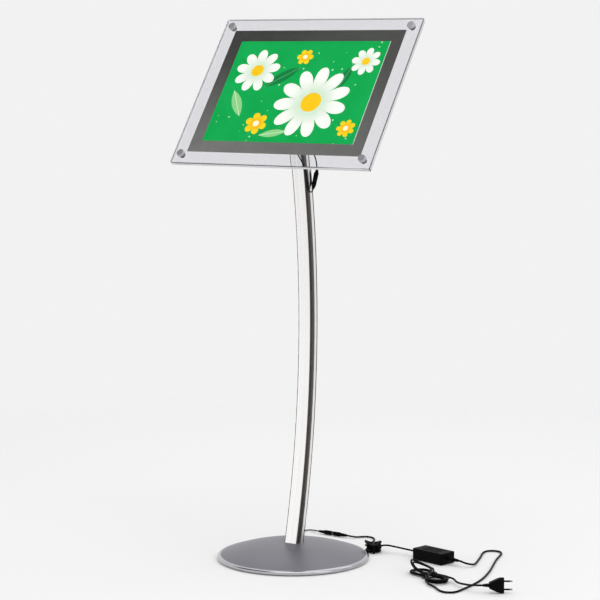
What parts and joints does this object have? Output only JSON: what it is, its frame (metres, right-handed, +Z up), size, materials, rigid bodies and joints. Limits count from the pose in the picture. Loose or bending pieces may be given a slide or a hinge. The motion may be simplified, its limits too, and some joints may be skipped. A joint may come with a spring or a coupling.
{
  "type": "led menu stand",
  "caption": "Free-standing menu stand: an edge-lit acrylic panel tilts on a bowed aluminium post with a round weighted base, fed by a plug-in adapter.",
  "frame": {"origin": "centre of the base's underside, on the floor", "axes": "+Z up, -Y towards the reader in front of the panel, +X to the reader's right"},
  "size_m": [0.8589, 0.4906, 1.2689],
  "materials": {
    "satin_silver_lacquer": "satin silver lacquer on spun steel",
    "raw_steel": "cut and turned steel, oiled",
    "pad_rubber": "die-cut rubber sheet",
    "anodised_aluminium": "satin anodised extrusion",
    "cast_aluminium": "machined and bead-blasted aluminium",
    "plated_steel": "zinc-plated fasteners",
    "nylon_black": "moulded nylon",
    "clear_acrylic": "cast acrylic with polished edges",
    "bush_brass": "turned brass",
    "gland_rubber": "moulded rubber",
    "reflector_film": "white reflector film",
    "light_guide_acrylic": "laser-dotted acrylic light guide",
    "led_board": "white solder mask on an aluminium board",
    "led_phosphor": "moulded LED package",
    "wire_sheath": "extruded wire sheath",
    "diffuser_film": "opal diffuser sheet",
    "printed_film": "backlit printed film of an abstract green design",
    "mask_print": "grey screen print on film",
    "washer_nylon": "clear nylon washer",
    "turned_cap": "turned satin aluminium",
    "cord_sheath": "black extruded cord sheath",
    "connector_plastic": "black moulded connector",
    "plated_contact": "nickel-plated contact",
    "tie_plastic": "black plastic-covered wire tie",
    "adapter_shell": "fine-textured black moulding",
    "circuit_board": "glass-epoxy board with parts"
  },
  "bodies": {
    "stand": {"base_cover": "satin_silver_lacquer", "base_weight": "raw_steel", "base_pad": "pad_rubber", "base_hub": "raw_steel", "base_bolts": "plated_steel", "base_washers": "plated_steel", "post": "anodised_aluminium", "post_foot": "cast_aluminium", "foot_screws": "plated_steel", "foot_grommet": "gland_rubber", "top_grommet": "gland_rubber", "post_wire": "wire_sheath", "post_head": "cast_aluminium", "head_screws": "plated_steel", "pivot_bolt": "plated_steel", "pivot_nut": "plated_steel", "friction_washers": "nylon_black", "panel_lead": "cord_sheath", "lead_plug": "connector_plastic", "lead_socket": "connector_plastic", "post_lead": "cord_sheath", "foot_lead": "cord_sheath", "dc_socket": "connector_plastic", "dc_barrel": "plated_contact", "dc_plug": "connector_plastic", "dc_cable_first": "cord_sheath", "dc_coil": "cord_sheath", "coil_tie": "tie_plastic", "dc_cable_last": "cord_sheath", "adapter_base": "adapter_shell", "adapter_lid": "adapter_shell", "adapter_board": "circuit_board", "dc_relief": "gland_rubber", "mains_relief": "gland_rubber", "mains_cable_first": "cord_sheath", "mains_hank": "cord_sheath", "hank_tie": "tie_plastic", "mains_cable_last": "cord_sheath", "plug_body": "connector_plastic", "plug_pins": "plated_contact"},
    "panel": {"tilt_bracket": "cast_aluminium", "bracket_screws": "plated_steel", "back_plate": "clear_acrylic", "corner_bushes": "bush_brass", "lead_gland": "gland_rubber", "reflector": "reflector_film", "light_guide": "light_guide_acrylic", "led_boards": "led_board", "led_chips": "led_phosphor", "led_wire": "wire_sheath", "diffuser": "diffuser_film", "picture_sheet": "printed_film"},
    "cover": {"front_cover": "clear_acrylic", "border_mask": "mask_print", "cap_washers": "washer_nylon"},
    "cap_tl": {"cap_tl": "turned_cap"},
    "cap_tr": {"cap_tr": "turned_cap"},
    "cap_bl": {"cap_bl": "turned_cap"},
    "cap_br": {"cap_br": "turned_cap"}
  },
  "joints": [
    {"name": "panel_tilt", "type": "hinge", "parent": "stand", "child": "panel", "pos_m": [0, 0.01581, 1.03635], "axis": [1, 0, 0], "range_deg": [-33, 36], "deforming": ["panel_lead"]},
    {"name": "cover_lift", "type": "slide", "parent": "panel", "child": "cover", "axis": [0, -0.8039, 0.5948], "range_m": [0, 0.03]},
    {"name": "cap_tl_turn", "type": "hinge", "parent": "cover", "child": "cap_tl", "pos_m": [-0.246, 0.12044, 1.25003], "axis": [0, -0.8039, 0.5948], "continuous": true},
    {"name": "cap_tr_turn", "type": "hinge", "parent": "cover", "child": "cap_tr", "pos_m": [0.246, 0.12044, 1.25003], "axis": [0, -0.8039, 0.5948], "continuous": true},
    {"name": "cap_bl_turn", "type": "hinge", "parent": "cover", "child": "cap_bl", "pos_m": [-0.246, -0.09846, 0.95421], "axis": [0, -0.8039, 0.5948], "continuous": true},
    {"name": "cap_br_turn", "type": "hinge", "parent": "cover", "child": "cap_br", "pos_m": [0.246, -0.09846, 0.95421], "axis": [0, -0.8039, 0.5948], "continuous": true}
  ]
}
